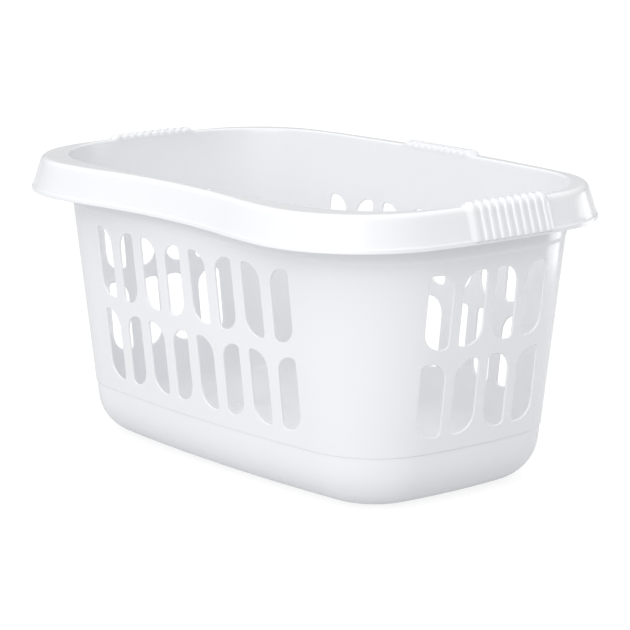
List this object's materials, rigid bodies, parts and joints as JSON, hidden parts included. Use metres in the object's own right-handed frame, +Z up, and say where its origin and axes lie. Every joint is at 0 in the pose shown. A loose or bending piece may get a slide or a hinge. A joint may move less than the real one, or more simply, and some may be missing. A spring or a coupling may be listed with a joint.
{
  "type": "laundry basket",
  "caption": "Open hip-hugging laundry basket with slotted tapered walls, a flared rim hollowed for the hip on one long side, and ribbed hand grips on both ends and the back.",
  "frame": {"origin": "on the floor, under the middle of the basket's box", "axes": "+X along the length, +Y from the hip side to the plain long side, +Z up out of the open top"},
  "size_m": [0.591, 0.3941, 0.2982],
  "materials": {
    "wall_plastic": "white moulded polypropylene, glossy, with slight mould ripple",
    "rim_plastic": "white moulded polypropylene, polished and glossy, lightly scuffed on its edges",
    "base_plastic": "white moulded polypropylene, glossy, scuffed where it slides on the floor",
    "grip_plastic": "white moulded polypropylene, glossy ribs, slightly worn on top"
  },
  "bodies": {
    "root": {"base_floor": "base_plastic", "base_edge_front": "base_plastic", "base_edge_back": "base_plastic", "base_edge_left": "base_plastic", "base_edge_right": "base_plastic", "base_edge_front_left": "base_plastic", "base_edge_front_right": "base_plastic", "base_edge_back_left": "base_plastic", "base_edge_back_right": "base_plastic", "wall_front": "wall_plastic", "wall_back": "wall_plastic", "wall_left": "wall_plastic", "wall_right": "wall_plastic", "wall_front_left": "wall_plastic", "wall_front_right": "wall_plastic", "wall_back_left": "wall_plastic", "wall_back_right": "wall_plastic", "rim_front": "rim_plastic", "rim_back": "rim_plastic", "rim_left": "rim_plastic", "rim_right": "rim_plastic", "rim_front_left": "rim_plastic", "rim_front_right": "rim_plastic", "rim_back_left": "rim_plastic", "rim_back_right": "rim_plastic", "grip_left": "grip_plastic", "grip_right": "grip_plastic", "grip_back": "grip_plastic"}
  },
  "joints": []
}
